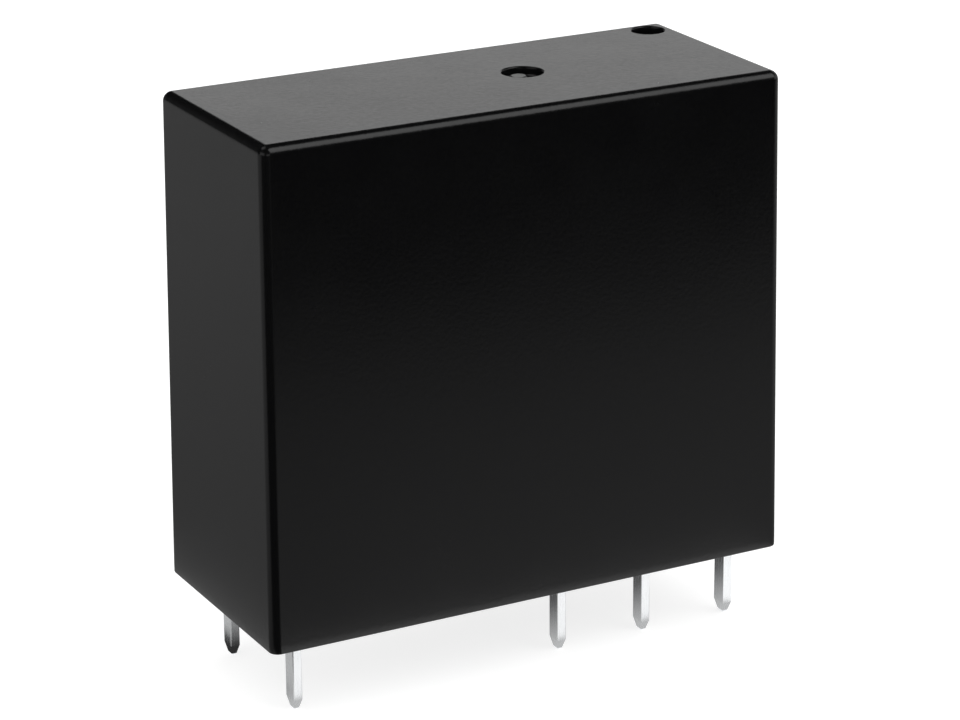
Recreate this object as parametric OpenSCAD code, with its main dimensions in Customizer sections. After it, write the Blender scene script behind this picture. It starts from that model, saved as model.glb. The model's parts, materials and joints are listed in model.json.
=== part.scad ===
// Two-pole power relay for a circuit board.
// The origin is the centre of the cover on the board face. X runs along the cover towards
// the contact end, Y across it and Z up. The pins go down through the board.
// All sizes are in millimetres. The relay is drawn at rest, with the coil off.

/* [Pins] */
// Thickness of the terminal strip
strip_t = 0.5; // [0.3:0.05:0.6]
// Width of a pin
pin_w = 0.9; // [0.6:0.05:1.2]
// Length of the pins below the board face
pin_len = 4.2; // [2.5:0.1:6]
// Length of the taper at the tip of a pin
tip_len = 0.6; // [0.3:0.1:1.5]
// Share of the width of a pin that is left at its blunt end
tip_share = 0.5; // [0.2:0.05:0.9]
// Distance between the two rows of pins
row_pitch = 7.5; // [7:0.1:10]
// Distance between neighbouring contact pins in a row
contact_pitch = 5; // [4.6:0.1:7]
// Distance from a coil pin to the nearest contact pin in its row
coil_pitch = 15; // [14.6:0.1:20]
// How far the pin grid lies off the middle of the cover, towards the contact end
grid_shift = 0.2; // [0:0.05:0.4]

/* [Cover] */
// Wall thickness of the cover
cover_wall = 0.8; // [0.5:0.05:1.2]
// Roof thickness of the cover
cover_roof = 0.9; // [0.7:0.05:1.5]
// Radius of the outer edges of the cover
cover_edge_r = 0.5; // [0.3:0.05:1]
// How far each side of the cover leans in from its foot to its roof
cover_draft = 0.25; // [0:0.05:0.3]
// Height of the straight foot of the cover
cover_foot = 0.5; // [0.2:0.1:2]
// Room between the end pins and the inside of the cover, with the grid centred
end_room = 0.95; // [0.8:0.05:2]
// Diameter of the vent hole in the roof
vent_d = 1.7; // [1:0.1:2.4]
// Distance of the vent hole from the end of the cover
vent_from_end = 1.8; // [1.6:0.1:4]
// Distance of the vent hole from the back of the cover
vent_from_back = 1.7; // [1.6:0.1:4]
// Diameter of the gate recess in the roof
gate_d = 2.1; // [1.2:0.1:4]
// Depth of the gate recess
gate_depth = 0.45; // [0.2:0.05:0.6]
// Position of the gate recess along the cover
gate_x = 2.9; // [-6:0.1:6]
// Position of the gate recess across the cover
gate_y = 0.25; // [-2:0.05:2]
// Diameter of the gate stub left standing in the recess
stub_d = 0.7; // [0.4:0.1:1]
// Height of the gate stub
stub_h = 0.2; // [0.1:0.05:0.3]

/* [Base] */
// Height of the top of the base above the board face
base_h = 2.6; // [1.8:0.1:4]
// Depth of the resin face above the board face
resin_recess = 0.3; // [0.1:0.05:0.5]
// Thickness of the sealing resin
resin_t = 0.3; // [0.2:0.05:0.6]
// Thickness of the insulating walls
barrier_t = 0.9; // [0.6:0.05:1.2]
// Length of a corner pad
pad_len = 1.8; // [1:0.1:2.5]
// Width of a corner pad
pad_w = 1.2; // [0.8:0.1:1.6]
// Length of the middle pad
middle_pad_len = 3.2; // [2:0.1:4]
// Width of the middle pad
middle_pad_w = 4.0; // [2:0.1:5]

/* [Coil] */
// Diameter of the winding
winding_d = 9.2; // [8:0.1:10]
// Height of the winding
winding_h = 14.9; // [12:0.1:20]
// Thickness of the lower flange of the bobbin
lower_flange_t = 1.0; // [0.6:0.1:1.6]
// Thickness of the upper flange of the bobbin
upper_flange_t = 0.8; // [0.5:0.1:1.4]
// How far the flanges stand out past the winding
flange_lip = 0.7; // [0.3:0.05:1]
// Wall thickness of the bobbin tube
tube_wall = 0.7; // [0.4:0.05:1]
// Diameter of the core
core_d = 4.0; // [3:0.1:5]
// Diameter of the core tail riveted into the yoke
core_tail_d = 2.8; // [2:0.1:2.9]
// Diameter of the pole face on the core
pole_d = 6.4; // [5.2:0.1:8]
// Thickness of the pole face
pole_t = 0.75; // [0.5:0.05:1.2]
// Thickness of the yoke
yoke_t = 1.2; // [0.8:0.05:1.6]
// Width of the yoke
yoke_w = 8.0; // [6:0.1:9]
// Gap between the coil pins and the end of the yoke foot
yoke_end_gap = 1.05; // [0.9:0.05:1.6]
// Distance from the hinge edge of the yoke to the first contact pins
hinge_to_pin = 3.1; // [3:0.1:4]
// Height of the winding posts above the lower flange
post_h = 3.6; // [2:0.1:5]
// Diameter of the lead wire
wire_d = 0.15; // [0.1:0.01:0.2]
// Number of turns of lead wire on a post
wire_turns = 6; // [3:1:8]
// Height of the lead wire turns above the lower flange
lead_h = 1.2; // [0.6:0.1:1.8]

/* [Armature] */
// Thickness of the armature
armature_t = 1.2; // [0.8:0.05:1.5]
// Width of the armature
armature_w = 8.0; // [6:0.1:9]
// Angle that the armature turns through, in degrees
armature_angle = 6; // [3:0.25:7]
// How far the armature reaches past the pole face
armature_reach = 1.3; // [0.4:0.1:1.8]
// Width of the armature leg
leg_w = 4.4; // [3:0.1:5]
// Length of the armature leg past the card
leg_past_card = 0.6; // [0.3:0.05:1]
// Thickness of the hinge spring
hinge_spring_t = 0.2; // [0.1:0.02:0.3]
// Length of the hinge spring tabs on the armature
hinge_tab = 1.5; // [1:0.1:3]
// Height of the hinge spring plate on the yoke
hinge_plate_h = 4.0; // [3:0.1:5]
// Diameter of the stakes that hold the hinge spring
stake_d = 1.2; // [0.8:0.1:1.6]
// Height of the stakes on the yoke
stake_h = 0.5; // [0.4:0.05:0.7]

/* [Card] */
// Distance from the hinge edge down to the card
card_lever = 5.7; // [4.5:0.1:7]
// Radius of the card nose that meets the armature leg
nose_r = 0.6; // [0.4:0.05:0.8]
// Height of the card beam
beam_h = 0.96; // [0.6:0.02:1.1]
// Width of the card beam
card_w = 2.6; // [1.9:0.1:3]
// Depth of the card keel over the rail
keel_depth = 0.55; // [0.3:0.05:1]
// Height of the card middle above the rail
card_over_rail = 1.0; // [0.9:0.05:1.6]
// Radius of the crossbar face that meets the moving springs
bar_r = 0.7; // [0.4:0.05:0.8]
// Thickness of the crossbar
bar_t = 0.75; // [0.5:0.05:0.8]
// Distance of the crossbar ends from the outer edges of the springs
bar_inset = 0.4; // [0:0.05:0.8]
// Diameter of the pegs that locate the card in the springs
peg_d = 0.8; // [0.5:0.05:1]
// Length of the pegs past the crossbar
peg_len = 0.7; // [0.4:0.05:1]

/* [Contacts] */
// Width of the contact blades and moving springs
blade_w = 3.0; // [2.7:0.1:4]
// Thickness of the moving springs
spring_t = 0.2; // [0.1:0.02:0.3]
// Height of the contacts above the card
contact_lever = 3.9; // [3.2:0.1:4.6]
// Diameter of the contact heads
head_d = 2.6; // [2:0.1:2.7]
// Height of the contact heads
head_h = 0.6; // [0.4:0.05:0.8]
// Radius of the domed contact faces
dome_r = 6; // [4:0.5:10]
// Diameter of the contact shanks
shank_d = 1.4; // [0.8:0.1:1.6]
// Diameter of the tails of the fixed contacts
tail_d = 2.0; // [1.7:0.1:2.4]
// Height of the tails of the fixed contacts
tail_h = 0.3; // [0.2:0.05:0.5]
// Height of the common terminal plate above the base
common_h = 4.6; // [3:0.1:6]
// Diameter of the spring rivet
rivet_d = 1.2; // [0.8:0.1:1.6]
// Diameter of the spring rivet heads
rivet_head_d = 2.0; // [1.8:0.1:2.6]
// Height of the spring rivet heads
rivet_head_h = 0.35; // [0.2:0.05:0.5]
// Chamfer on the free corners of the blades and springs
blade_chamfer = 0.5; // [0.2:0.05:1]
// How far the blades and springs stand past the contact heads
blade_past_head = 0.4; // [0.2:0.05:0.8]

/* [Fits] */
// Clearance of the base in the cover and of the pins in the base
fit_gap = 0.05; // [0.02:0.01:0.1]
// Clearance of the core in the bobbin and of rivets in their holes
hole_gap = 0.03; // [0.02:0.01:0.06]
// Gap between touching contacts, and between pushing faces
touch_gap = 0.03; // [0.02:0.01:0.06]
// Gap of the closed armature over the pole face and the yoke
seat_gap = 0.05; // [0.03:0.01:0.1]
// Clearance of the card on its rail
rail_gap = 0.05; // [0.03:0.01:0.1]
// Clearance of the card pegs in the springs
peg_gap = 0.15; // [0.1:0.01:0.25]
// Room between the contact blades and the cover
blade_room = 0.15; // [0.1:0.05:0.5]
// Room between the bobbin and its neighbours
bobbin_room = 0.2; // [0.1:0.05:0.3]
// Room over the raised armature
armature_room = 0.95; // [0.3:0.05:2]

/* [Hidden] */
$fn = 48;
FRONT = -1;
BACK = 1;
// Overshoot of cutting shapes, so that no cut ends on a face
past = 1;

// Pin grid
row_y = row_pitch / 2;
grid_len = coil_pitch + 2 * contact_pitch;
coil_x = grid_shift - grid_len / 2;
nc_x = coil_x + coil_pitch;
common_x = nc_x + contact_pitch;
no_x = common_x + contact_pitch;

// Heights of the coil stack
foot_top = base_h + yoke_t;
winding_bottom = foot_top + lower_flange_t;
winding_top = winding_bottom + winding_h;
pole_bottom = winding_top + upper_flange_t;
pole_top = pole_bottom + pole_t;
hinge_z = pole_top + seat_gap;

// Coil and hinge places along the relay
hinge_x = nc_x - hinge_to_pin;
flange_half = winding_d / 2 + flange_lip;
coil_axis_x = hinge_x - yoke_t - bobbin_room / 2 - flange_half;
armature_len = hinge_x - coil_axis_x + pole_d / 2 + armature_reach;

// Cover
inner_x = grid_len / 2 + strip_t / 2 + end_room;
inner_y = row_y + blade_w / 2 + blade_room;
cover_x = inner_x + cover_wall;
cover_y = inner_y + cover_wall;
armature_rise = armature_len * sin(armature_angle) + armature_t * cos(armature_angle);
inner_top = hinge_z + armature_rise + armature_room;
cover_top = inner_top + cover_roof;
vent_x = cover_x - vent_from_end;
vent_y = cover_y - vent_from_back;

// Card
card_z = hinge_z - card_lever;
card_travel = card_lever * armature_angle * PI / 180;
rail_top = card_z - card_over_rail;
nose_x = hinge_x + touch_gap + armature_t + touch_gap;
leg_bottom = card_z - leg_past_card;

// Contacts
spring_x = common_x + strip_t / 2;
common_top = base_h + common_h;
rivet_z = base_h + common_h / 2;
contact_z = card_z + contact_lever;
blade_top = contact_z + head_d / 2 + blade_past_head;
spring_angle = card_travel / (card_z - common_top);
contact_travel = (contact_z - common_top) * spring_angle;
nc_blade_x = spring_x - 2 * head_h - touch_gap - strip_t;
no_blade_x = spring_x + spring_t + 2 * head_h + contact_travel + touch_gap;
bar_face_x = spring_x - touch_gap;

// Insulating walls of the base
coil_wall_x = nc_x - strip_t / 2 - barrier_t / 2;
coil_wall_top = leg_bottom - barrier_t;
high_wall_x = bar_face_x + card_travel + barrier_t / 2;

// A box given by its lower and upper corners
module span(low, high) translate(low) cube(high - low);

// A round bar along X, from its middle at one end
module bar_x(d, length) rotate([0, 90, 0]) cylinder(d = d, h = length);

// A round bar along Y, about its middle
module bar_y(r, length) rotate([90, 0, 0]) cylinder(r = r, h = length, center = true);

// A flat rectangle with true arcs at its corners, about its middle
module round_rect(length, width, r) {
    square([length - 2 * r, width], center = true);
    square([length, width - 2 * r], center = true);
    for (x = [-1, 1], y = [-1, 1])
        translate([x * (length / 2 - r), y * (width / 2 - r)]) circle(r);
}

// The outer block of the cover: a straight foot, and sides that lean in up to a rounded roof edge
module cover_block() {
    $fn = 32;
    corner_x = cover_x - cover_draft - cover_edge_r;
    corner_y = cover_y - cover_draft - cover_edge_r;
    corner_z = cover_top - cover_edge_r;
    hull() {
        linear_extrude(cover_foot) round_rect(2 * cover_x, 2 * cover_y, cover_edge_r);
        for (x = [-corner_x, corner_x], y = [-corner_y, corner_y])
            translate([x, y, corner_z]) sphere(cover_edge_r);
    }
}

// One-piece moulded cover, open below, with a gate recess and a vent hole in its roof
module cover() color("#1e1e1f") {
    difference() {
        cover_block();
        span([-inner_x, -inner_y, -past], [inner_x, inner_y, inner_top]);
        translate([vent_x, vent_y, inner_top - past]) cylinder(d = vent_d, h = cover_roof + 2 * past);
        translate([gate_x, gate_y, cover_top - gate_depth]) cylinder(d = gate_d, h = gate_depth + past);
    }
    translate([gate_x, gate_y, cover_top - gate_depth - cover_roof / 4])
        cylinder(d = stub_d, h = stub_h + cover_roof / 4);
}

// The section of one pin, grown all round by a clearance, between two heights
module pin_prism(x, y, low, high, gap = 0) {
    half_t = strip_t / 2 + gap;
    half_w = pin_w / 2 + gap;
    span([x - half_t, y - half_w, low], [x + half_t, y + half_w, high]);
}

// The outline of a pin of the given width, tapered to its blunt end
module pin_outline(width, high) {
    half = width / 2;
    end = tip_share * half;
    taper_z = tip_len - pin_len;
    polygon([
        [-end, -pin_len], [end, -pin_len], [half, taper_z],
        [half, high], [-half, high], [-half, taper_z]
    ]);
}

// A pin with a taper on all four sides, from its tip up to the given height
module pin(x, y, high) translate([x, y, 0]) intersection() {
    rotate([90, 0, 0]) linear_extrude(2 * pin_w, center = true) pin_outline(strip_t, high);
    rotate([90, 0, 90]) linear_extrude(2 * strip_t, center = true) pin_outline(pin_w, high);
}

// All the pins at once, as prisms, to open slots for them
module all_pins(low, high, gap = 0)
    for (x = [coil_x, nc_x, common_x, no_x], y = [-row_y, row_y]) pin_prism(x, y, low, high, gap);

// The pads of the base that stand on the board
module board_pads(top) {
    pad_y = inner_y - pad_w / 2 - barrier_t / 2;
    for (x = [(coil_x + coil_axis_x) / 2, (common_x + no_x) / 2], y = [-pad_y, pad_y])
        span([x - pad_len / 2, y - pad_w / 2, 0], [x + pad_len / 2, y + pad_w / 2, top]);
    span([-middle_pad_len / 2, -middle_pad_w / 2, 0], [middle_pad_len / 2, middle_pad_w / 2, top]);
}

// Moulded base: plate, board pads, wall between coil and contacts, wall between the poles
module base() color("#26282a") {
    edge_x = inner_x - fit_gap;
    edge_y = inner_y - fit_gap;
    low = resin_recess + resin_t;
    half = barrier_t / 2;
    difference() {
        union() {
            span([-edge_x, -edge_y, low], [edge_x, edge_y, base_h]);
            board_pads(base_h - half);
            span([coil_wall_x - barrier_t, -edge_y, low], [coil_wall_x, edge_y, coil_wall_top]);
            span([coil_wall_x - half, -half, low], [edge_x, half, rail_top]);
            span([high_wall_x, -half, low], [edge_x, half, blade_top]);
        }
        all_pins(-past, base_h + past, fit_gap);
    }
}

// Sealing resin between the cover, the base and the pins
module sealing_resin() color("#1a1a1a") difference() {
    span([-inner_x, -inner_y, resin_recess], [inner_x, inner_y, resin_recess + resin_t]);
    board_pads(base_h);
    all_pins(-past, base_h);
}

// Bobbin: tube, upper flange, and a lower flange that also carries the winding posts
module bobbin() color("#ddd8c8") {
    flange_y = inner_y - bobbin_room;
    right = coil_axis_x + flange_half;
    difference() {
        union() {
            span([-inner_x + bobbin_room, -flange_y, foot_top], [right, flange_y, winding_bottom]);
            span([coil_axis_x - flange_half, -flange_y, winding_top], [right, flange_y, pole_bottom]);
            translate([coil_axis_x, 0, foot_top])
                cylinder(d = core_d + 2 * (hole_gap + tube_wall), h = pole_bottom - foot_top);
        }
        translate([coil_axis_x, 0, foot_top - past])
            cylinder(d = core_d + 2 * hole_gap, h = pole_bottom - foot_top + 2 * past);
        all_pins(base_h, winding_bottom + past, fit_gap);
    }
}

// Copper winding, as one body of turns
module coil_winding() color("#a4532b") translate([coil_axis_x, 0, winding_bottom]) difference() {
    cylinder(d = winding_d, h = winding_h);
    translate([0, 0, -past])
        cylinder(d = core_d + 2 * (2 * hole_gap + tube_wall), h = winding_h + 2 * past);
}

// Iron core with its pole face, riveted into the foot of the yoke
module core() color("#b4b6b8") translate([coil_axis_x, 0, 0]) {
    translate([0, 0, base_h]) cylinder(d = core_tail_d, h = yoke_t + past);
    translate([0, 0, foot_top]) cylinder(d = core_d, h = pole_bottom - foot_top + pole_t / 2);
    translate([0, 0, pole_bottom]) cylinder(d = pole_d, h = pole_t);
}

// The places of the two stakes on the outer face of the yoke
module at_stakes() {
    stake_z = coil_wall_top - hinge_plate_h / 2;
    for (y = [-yoke_w / 4, yoke_w / 4]) translate([hinge_x, y, stake_z]) children();
}

// Bent iron yoke: foot under the coil, upright beside it, and stakes for the hinge spring
module yoke() color("#a9abad") {
    foot_x = coil_x + strip_t / 2 + yoke_end_gap;
    half = yoke_w / 2;
    difference() {
        union() {
            span([foot_x, -half, base_h], [hinge_x, half, foot_top]);
            span([hinge_x - yoke_t, -half, base_h], [hinge_x, half, pole_top]);
        }
        translate([coil_axis_x, 0, base_h - past])
            cylinder(d = core_tail_d + 2 * hole_gap, h = yoke_t + 2 * past);
    }
    at_stakes() translate([-yoke_t / 2, 0, 0]) bar_x(stake_d, stake_h + yoke_t / 2);
}

// Places a shape that is drawn about the hinge edge on the raised armature
module on_armature() translate([hinge_x, 0, hinge_z]) rotate([0, armature_angle, 0]) children();

// Iron armature: plate over the pole face and a leg that pushes the card
module armature() color("#9fa1a3") {
    shoulder = 2 * armature_t * sin(armature_angle);
    leg_out = touch_gap + armature_t;
    leg_top = hinge_z + armature_t / 2;
    half = leg_w / 2;
    difference() {
        union() {
            on_armature() {
                span([-armature_len, -armature_w / 2, 0], [-shoulder, armature_w / 2, armature_t]);
                span([-armature_t, -half, 0], [leg_out, half, armature_t]);
            }
            span([hinge_x + touch_gap, -half, leg_bottom], [hinge_x + leg_out, half, leg_top]);
        }
        translate([hinge_x, 0, hinge_z]) bar_y(armature_t / 4, leg_w + 2 * past);
    }
}

// Forked leaf that is staked on the yoke and holds the armature on its hinge edge
module hinge_spring() color("#c9a85a") {
    fork = leg_w / 2 + bobbin_room;
    tab_z = armature_t + touch_gap;
    arm_top = hinge_z + tab_z + hinge_spring_t / 2;
    plate_top = coil_wall_top;
    arm_bottom = plate_top - hinge_plate_h / 4;
    face_x = hinge_x + hinge_spring_t;
    half = yoke_w / 2;
    difference() {
        span([hinge_x, -half, plate_top - hinge_plate_h], [face_x, half, plate_top]);
        at_stakes() translate([-past, 0, 0]) bar_x(stake_d + 2 * hole_gap, 2 * past);
    }
    for (side = [FRONT, BACK]) scale([1, side, 1]) {
        span([hinge_x, fork, arm_bottom], [face_x, half, arm_top]);
        on_armature() span([-hinge_tab, fork, tab_z], [hinge_spring_t, half, tab_z + hinge_spring_t]);
    }
}

// Moulded card: nose, beam with a keel over the rail, crossbar and two pegs
module card() color("#e6e2d4") {
    half = card_w / 2;
    beam_end = bar_face_x - bar_r / 2;
    keel_x = coil_wall_x + barrier_t / 4;
    keel_bottom = rail_top - keel_depth;
    slot = barrier_t / 2 + rail_gap;
    difference() {
        union() {
            translate([nose_x + nose_r, 0, card_z]) {
                bar_y(nose_r, card_w);
                span([0, -half, -beam_h / 2], [beam_end - nose_x - nose_r, half, beam_h / 2]);
            }
            span([keel_x, -half, keel_bottom], [beam_end, half, card_z]);
            crossbar();
        }
        span([keel_x - past, -slot, keel_bottom - past], [spring_x + past, slot, rail_top + rail_gap]);
    }
    for (y = [-row_y, row_y])
        translate([bar_face_x - bar_t / 2, y, card_z]) bar_x(peg_d, bar_t / 2 + peg_len);
}

// The crossbar of the card, round where it meets the springs and flat behind
module crossbar() translate([bar_face_x, 0, card_z]) {
    half = row_y + blade_w / 2 - bar_inset;
    reach = bar_r + past;
    intersection() {
        translate([-bar_r, 0, 0]) bar_y(bar_r, 2 * half);
        span([-bar_t, -half - past, -reach], [past, half + past, reach]);
    }
}

// Straight coil terminal: pin below, winding post above
module coil_terminal(side) color("#c8cacc") pin(coil_x, side * row_y, winding_bottom + post_h);

// Lead wire: its turns on the post, and the run to the winding
module coil_lead(side) color("#b5652f") {
    sleeve_r = norm([strip_t, pin_w]) / 2 + hole_gap;
    run = [coil_axis_x - coil_x, -side * row_y];
    height = wire_turns * wire_d;
    translate([coil_x, side * row_y, winding_bottom + lead_h]) {
        difference() {
            cylinder(r = sleeve_r + wire_d, h = height);
            translate([0, 0, -past]) cylinder(r = sleeve_r, h = height + 2 * past);
        }
        translate([0, 0, height / 2])
            rotate([0, 0, atan2(run.y, run.x)])
                translate([sleeve_r + wire_d / 2, 0, 0])
                    bar_x(wire_d, norm(run) - winding_d / 2 - sleeve_r - wire_d / 2 - hole_gap);
    }
}

// The flat outline of an upright blade with chamfered free corners, in Y and Z
module blade_outline(low, high)
    polygon([
        [-blade_w / 2, low], [blade_w / 2, low], [blade_w / 2, high - blade_chamfer],
        [blade_w / 2 - blade_chamfer, high], [blade_chamfer - blade_w / 2, high],
        [-blade_w / 2, high - blade_chamfer]
    ]);

// An upright blade of the given thickness, from its left face at x
module blade(x, side, thickness, low, high)
    translate([x, side * row_y, 0])
        rotate([90, 0, 90])
            linear_extrude(thickness) blade_outline(low, high);

// A through hole along X in a blade whose left face is at x
module blade_hole(x, side, z, d)
    translate([x - past, side * row_y, z]) bar_x(d, 2 * past + strip_t);

// A fixed terminal: pin, foot on the base, and blade with a hole for its contact
module fixed_terminal(pin_x, blade_x, side) {
    foot_low = min(pin_x - strip_t / 2, blade_x);
    foot_high = max(pin_x + strip_t / 2, blade_x + strip_t);
    half = blade_w / 2;
    y = side * row_y;
    difference() {
        union() {
            pin(pin_x, y, base_h + strip_t / 2);
            span([foot_low, y - half, base_h], [foot_high, y + half, base_h + strip_t]);
            blade(blade_x, side, strip_t, base_h, blade_top);
        }
        blade_hole(blade_x, side, contact_z, shank_d + 2 * hole_gap);
    }
}

module nc_terminal(side) color("#c8cacc") fixed_terminal(nc_x, nc_blade_x, side);

module no_terminal(side) color("#c8cacc") fixed_terminal(no_x, no_blade_x, side);

// Common terminal: pin below and a short plate above for the moving spring
module common_terminal(side) color("#c8cacc") difference() {
    union() {
        pin(common_x, side * row_y, base_h + strip_t);
        blade(common_x - strip_t / 2, side, strip_t, base_h, common_top);
    }
    blade_hole(common_x - strip_t / 2, side, rivet_z, rivet_d + 2 * hole_gap);
}

// A contact head with a domed face, standing on Z = 0
module domed_head() intersection() {
    cylinder(d = head_d, h = head_h + past);
    translate([0, 0, head_h - dome_r]) sphere(r = dome_r);
}

// A fixed contact on a blade: head on the given side of it, shank through it, tail behind
module fixed_contact(blade_x, side, facing)
    translate([blade_x + strip_t / 2, side * row_y, contact_z])
        rotate([0, 90 * facing, 0]) {
            translate([0, 0, strip_t / 2]) domed_head();
            translate([0, 0, -strip_t / 2 - tail_h / 2])
                cylinder(d = shank_d, h = strip_t + tail_h / 2 + head_h / 2);
            translate([0, 0, -strip_t / 2 - tail_h]) cylinder(d = tail_d, h = tail_h);
        }

module nc_contact(side) color("#d9d9d6") fixed_contact(nc_blade_x, side, 1);

module no_contact(side) color("#d9d9d6") fixed_contact(no_blade_x, side, -1);

// Moving spring: thin leaf on the common terminal, with holes for rivet, peg and contact
module moving_spring(side) color("#c98f4e") difference() {
    blade(spring_x, side, spring_t, base_h + strip_t, blade_top);
    blade_hole(spring_x, side, rivet_z, rivet_d + 2 * hole_gap);
    blade_hole(spring_x, side, card_z, peg_d + 2 * peg_gap);
    blade_hole(spring_x, side, contact_z, shank_d + 2 * hole_gap);
}

// Rivet that holds a moving spring on its common terminal
module spring_rivet(side) color("#c8cacc")
    translate([common_x - strip_t / 2, side * row_y, rivet_z]) {
        stack = strip_t + spring_t;
        translate([-rivet_head_h, 0, 0]) bar_x(rivet_head_d, rivet_head_h);
        translate([-rivet_head_h / 2, 0, 0]) bar_x(rivet_d, stack + rivet_head_h);
        translate([stack, 0, 0]) bar_x(rivet_head_d, rivet_head_h);
    }

// Double contact on a moving spring
module moving_contact(side) color("#d9d9d6")
    translate([spring_x + spring_t / 2, side * row_y, contact_z]) {
        for (facing = [-1, 1])
            rotate([0, 90 * facing, 0]) translate([0, 0, spring_t / 2]) domed_head();
        translate([-spring_t, 0, 0]) bar_x(shank_d, 2 * spring_t);
    }

cover();
base();
sealing_resin();
bobbin();
coil_winding();
core();
yoke();
armature();
hinge_spring();
card();
coil_terminal(FRONT);  // coil_terminal_front
coil_terminal(BACK);  // coil_terminal_back
coil_lead(FRONT);  // coil_lead_front
coil_lead(BACK);  // coil_lead_back
nc_terminal(FRONT);  // nc_terminal_front
nc_terminal(BACK);  // nc_terminal_back
nc_contact(FRONT);  // nc_contact_front
nc_contact(BACK);  // nc_contact_back
common_terminal(FRONT);  // common_terminal_front
common_terminal(BACK);  // common_terminal_back
spring_rivet(FRONT);  // spring_rivet_front
spring_rivet(BACK);  // spring_rivet_back
moving_spring(FRONT);  // moving_spring_front
moving_spring(BACK);  // moving_spring_back
moving_contact(FRONT);  // moving_contact_front
moving_contact(BACK);  // moving_contact_back
no_terminal(FRONT);  // no_terminal_front
no_terminal(BACK);  // no_terminal_back
no_contact(FRONT);  // no_contact_front
no_contact(BACK);  // no_contact_back
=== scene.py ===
"""Dresses a two-pole circuit-board relay: moulded cover, tinned pins and the works inside."""

from __future__ import annotations

import json
import logging
import math
from dataclasses import dataclass
from enum import Enum
from typing import Any, Mapping, Sequence

import bmesh
import bpy
from bmesh.types import BMesh, BMVert
from bpy.types import Material, Mesh, Node, NodeSocket, NodeTree, Object
from mathutils import Matrix, Vector

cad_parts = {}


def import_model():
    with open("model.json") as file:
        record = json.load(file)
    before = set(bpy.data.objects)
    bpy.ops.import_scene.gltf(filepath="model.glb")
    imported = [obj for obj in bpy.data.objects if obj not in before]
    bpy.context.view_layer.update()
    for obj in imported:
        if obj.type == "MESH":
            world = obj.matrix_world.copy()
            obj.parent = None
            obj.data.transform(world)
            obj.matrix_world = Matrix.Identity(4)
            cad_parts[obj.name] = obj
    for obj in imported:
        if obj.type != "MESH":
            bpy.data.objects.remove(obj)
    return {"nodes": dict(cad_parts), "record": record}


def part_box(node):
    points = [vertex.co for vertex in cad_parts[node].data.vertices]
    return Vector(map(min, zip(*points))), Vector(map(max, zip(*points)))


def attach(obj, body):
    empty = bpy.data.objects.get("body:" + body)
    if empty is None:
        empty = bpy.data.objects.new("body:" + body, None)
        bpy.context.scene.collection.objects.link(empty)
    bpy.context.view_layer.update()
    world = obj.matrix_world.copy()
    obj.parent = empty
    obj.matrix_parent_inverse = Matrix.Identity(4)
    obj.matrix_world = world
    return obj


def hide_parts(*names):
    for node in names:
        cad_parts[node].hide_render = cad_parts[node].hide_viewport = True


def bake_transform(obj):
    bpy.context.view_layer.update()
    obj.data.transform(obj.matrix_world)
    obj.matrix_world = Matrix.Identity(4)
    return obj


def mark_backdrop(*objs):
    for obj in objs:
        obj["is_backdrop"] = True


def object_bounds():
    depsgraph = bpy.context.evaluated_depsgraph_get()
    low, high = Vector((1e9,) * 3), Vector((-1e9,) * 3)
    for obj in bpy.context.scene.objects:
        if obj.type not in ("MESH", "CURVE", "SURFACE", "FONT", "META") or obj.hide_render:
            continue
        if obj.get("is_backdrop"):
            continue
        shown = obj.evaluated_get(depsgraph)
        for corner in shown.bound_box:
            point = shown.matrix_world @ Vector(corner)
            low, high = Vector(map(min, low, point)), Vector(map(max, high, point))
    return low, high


MM = 0.001
MICRON = 0.000001
FRAME_WIDTH_PX = 960
SENSOR_MM = 36.0
MERGE_DISTANCE = 0.2 * MICRON
SIDES = ("front", "back")

# The sRGB curve: a straight toe, then a power.
SRGB_TOE = 0.04045
SRGB_TOE_SLOPE = 12.92
SRGB_OFFSET = 0.055
SRGB_POWER = 2.4

# How many finer layers the noise of a grain and of patches has.
GRAIN_DETAIL = 3.0
PATCH_DETAIL = 4.0

# The angle past which an edge stays sharp.
SHARP_DEG = 35.0

# The rounding of the edges of CAD pieces.
EDGE_SEGMENTS = 2
EDGE_ANGLE_DEG = 40.0

# Where the middle of a quarter round lies, as a share of its radius.
ARC_MIDDLE = 0.3

# How far the outer cards reach over the floor, in mm: past the wall of the room.
CARD_REACH = 1700.0

log = logging.getLogger("relay")

Pair = tuple[float, float]
Point = tuple[float, float]
Place = tuple[float, float, float]


class Slot(Enum):
    """The material slots of the record."""

    COVER = "cover_plastic"
    BASE = "base_plastic"
    RESIN = "sealing_resin"
    BOBBIN = "bobbin_plastic"
    CARD = "card_plastic"
    COIL = "enamelled_copper"
    IRON = "soft_iron"
    PIN = "tinned_brass"
    SPRING = "spring_bronze"
    CONTACT = "silver_alloy"


class Along(Enum):
    """The direction in which the brightness of a card changes."""

    X = 0
    Y = 1


def linear(colour: str) -> tuple[float, float, float, float]:
    """Turn an sRGB hex colour into linear light.

    Args:
        colour: The colour as "#rrggbb".

    Returns:
        Red, green, blue and alpha, each from 0 to 1.
    """
    channels = []
    for start in (1, 3, 5):
        value = int(colour[start : start + 2], 16) / 255
        if value <= SRGB_TOE:
            channels.append(value / SRGB_TOE_SLOPE)
        else:
            channels.append(((value + SRGB_OFFSET) / (1 + SRGB_OFFSET)) ** SRGB_POWER)
    return (channels[0], channels[1], channels[2], 1.0)


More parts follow.
